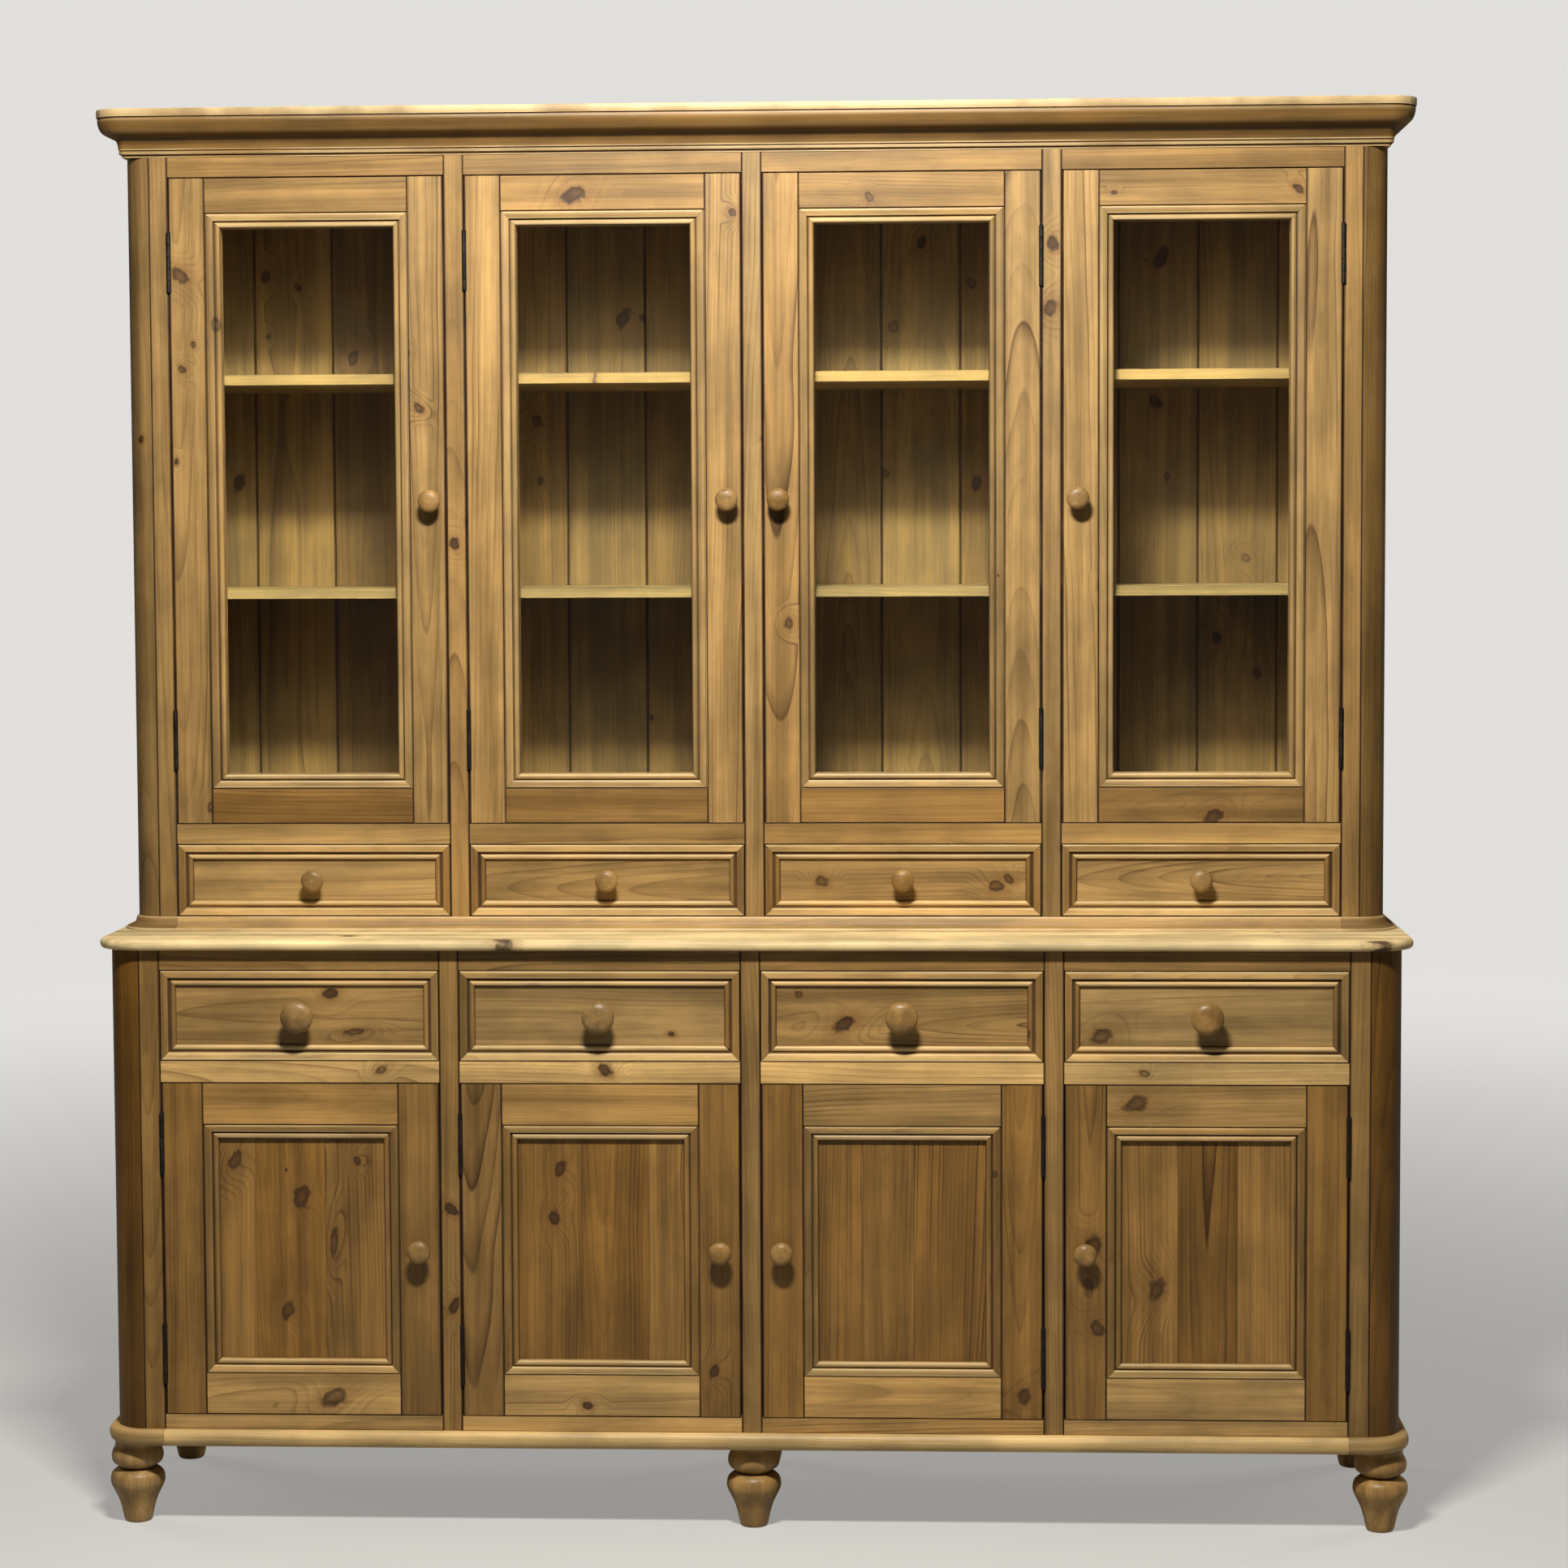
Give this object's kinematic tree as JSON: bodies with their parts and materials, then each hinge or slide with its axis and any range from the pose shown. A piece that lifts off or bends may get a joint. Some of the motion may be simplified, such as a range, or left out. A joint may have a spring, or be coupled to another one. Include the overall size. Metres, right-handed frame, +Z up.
{
  "type": "kitchen dresser",
  "caption": "Waxed pine dresser: glazed cupboards over small drawers, standing on a base of larger drawers and panelled cupboards with moulded edges and turned feet.",
  "frame": {"origin": "centre of the outline on the floor, under the feet", "axes": "+X to the viewer's right, +Y towards the wall behind, +Z up; the front faces -Y"},
  "size_m": [1.951, 0.4914, 2.0993],
  "materials": {
    "waxed_pine": "waxed pine, honey brown, knotty, soft sheen",
    "front_pine": "waxed pine of the doors and drawer fronts, golden brown, knotty",
    "inside_pine": "unpolished pine inside the cases, dull brown",
    "turned_pine": "turned pine of knobs and feet, paler, waxed",
    "window_glass": "clear window glass"
  },
  "bodies": {
    "case": {"cornice": "waxed_pine", "upper_top_board": "inside_pine", "upper_left_side": "waxed_pine", "upper_right_side": "waxed_pine", "upper_face_frame": "waxed_pine", "upper_back_boards": "inside_pine", "upper_shelf_high": "inside_pine", "upper_shelf_low": "inside_pine", "upper_cupboard_floor": "inside_pine", "upper_base_board": "waxed_pine", "counter_top": "waxed_pine", "lower_left_side": "waxed_pine", "lower_right_side": "waxed_pine", "lower_face_frame": "waxed_pine", "lower_back_boards": "inside_pine", "lower_drawer_deck": "inside_pine", "lower_shelf": "inside_pine", "lower_base_board": "waxed_pine", "front_left_foot": "turned_pine", "front_middle_foot": "turned_pine", "front_right_foot": "turned_pine", "back_left_foot": "turned_pine", "back_middle_foot": "turned_pine", "back_right_foot": "turned_pine"},
    "upper_door_1": {"upper_door_1_frame": "front_pine", "upper_door_1_knob": "turned_pine", "upper_door_1_glass": "window_glass"},
    "lower_door_1": {"lower_door_1_frame": "front_pine", "lower_door_1_knob": "turned_pine"},
    "upper_drawer_1": {"upper_drawer_1": "front_pine", "upper_drawer_1_knob": "turned_pine"},
    "lower_drawer_1": {"lower_drawer_1": "front_pine", "lower_drawer_1_knob": "turned_pine"},
    "upper_door_2": {"upper_door_2_frame": "front_pine", "upper_door_2_knob": "turned_pine", "upper_door_2_glass": "window_glass"},
    "lower_door_2": {"lower_door_2_frame": "front_pine", "lower_door_2_knob": "turned_pine"},
    "upper_drawer_2": {"upper_drawer_2": "front_pine", "upper_drawer_2_knob": "turned_pine"},
    "lower_drawer_2": {"lower_drawer_2": "front_pine", "lower_drawer_2_knob": "turned_pine"},
    "upper_door_3": {"upper_door_3_frame": "front_pine", "upper_door_3_knob": "turned_pine", "upper_door_3_glass": "window_glass"},
    "lower_door_3": {"lower_door_3_frame": "front_pine", "lower_door_3_knob": "turned_pine"},
    "upper_drawer_3": {"upper_drawer_3": "front_pine", "upper_drawer_3_knob": "turned_pine"},
    "lower_drawer_3": {"lower_drawer_3": "front_pine", "lower_drawer_3_knob": "turned_pine"},
    "upper_door_4": {"upper_door_4_frame": "front_pine", "upper_door_4_knob": "turned_pine", "upper_door_4_glass": "window_glass"},
    "lower_door_4": {"lower_door_4_frame": "front_pine", "lower_door_4_knob": "turned_pine"},
    "upper_drawer_4": {"upper_drawer_4": "front_pine", "upper_drawer_4_knob": "turned_pine"},
    "lower_drawer_4": {"lower_drawer_4": "front_pine", "lower_drawer_4_knob": "turned_pine"}
  },
  "joints": [
    {"name": "upper_door_1_hinge", "type": "hinge", "parent": "case", "child": "upper_door_1", "pos_m": [-0.87005, -0.07775, 1.0382], "axis": [0, 0, -1], "range_deg": [0, 110]},
    {"name": "lower_door_1_hinge", "type": "hinge", "parent": "case", "child": "lower_door_1", "pos_m": [-0.87005, -0.21575, 0.1715], "axis": [0, 0, -1], "range_deg": [0, 110]},
    {"name": "upper_drawer_1_slide", "type": "slide", "parent": "case", "child": "upper_drawer_1", "axis": [0, -1, 0], "range_m": [0, 0.2]},
    {"name": "lower_drawer_1_slide", "type": "slide", "parent": "case", "child": "lower_drawer_1", "axis": [0, -1, 0], "range_m": [0, 0.32]},
    {"name": "upper_door_2_hinge", "type": "hinge", "parent": "case", "child": "upper_door_2", "pos_m": [-0.42735, -0.07775, 1.0382], "axis": [0, 0, -1], "range_deg": [0, 110]},
    {"name": "lower_door_2_hinge", "type": "hinge", "parent": "case", "child": "lower_door_2", "pos_m": [-0.42735, -0.21575, 0.1715], "axis": [0, 0, -1], "range_deg": [0, 110]},
    {"name": "upper_drawer_2_slide", "type": "slide", "parent": "case", "child": "upper_drawer_2", "axis": [0, -1, 0], "range_m": [0, 0.2]},
    {"name": "lower_drawer_2_slide", "type": "slide", "parent": "case", "child": "lower_drawer_2", "axis": [0, -1, 0], "range_m": [0, 0.32]},
    {"name": "upper_door_3_hinge", "type": "hinge", "parent": "case", "child": "upper_door_3", "pos_m": [0.42735, -0.07775, 1.0382], "axis": [0, 0, 1], "range_deg": [0, 110]},
    {"name": "lower_door_3_hinge", "type": "hinge", "parent": "case", "child": "lower_door_3", "pos_m": [0.42735, -0.21575, 0.1715], "axis": [0, 0, 1], "range_deg": [0, 110]},
    {"name": "upper_drawer_3_slide", "type": "slide", "parent": "case", "child": "upper_drawer_3", "axis": [0, -1, 0], "range_m": [0, 0.2]},
    {"name": "lower_drawer_3_slide", "type": "slide", "parent": "case", "child": "lower_drawer_3", "axis": [0, -1, 0], "range_m": [0, 0.32]},
    {"name": "upper_door_4_hinge", "type": "hinge", "parent": "case", "child": "upper_door_4", "pos_m": [0.87005, -0.07775, 1.0382], "axis": [0, 0, 1], "range_deg": [0, 110]},
    {"name": "lower_door_4_hinge", "type": "hinge", "parent": "case", "child": "lower_door_4", "pos_m": [0.87005, -0.21575, 0.1715], "axis": [0, 0, 1], "range_deg": [0, 110]},
    {"name": "upper_drawer_4_slide", "type": "slide", "parent": "case", "child": "upper_drawer_4", "axis": [0, -1, 0], "range_m": [0, 0.2]},
    {"name": "lower_drawer_4_slide", "type": "slide", "parent": "case", "child": "lower_drawer_4", "axis": [0, -1, 0], "range_m": [0, 0.32]}
  ]
}
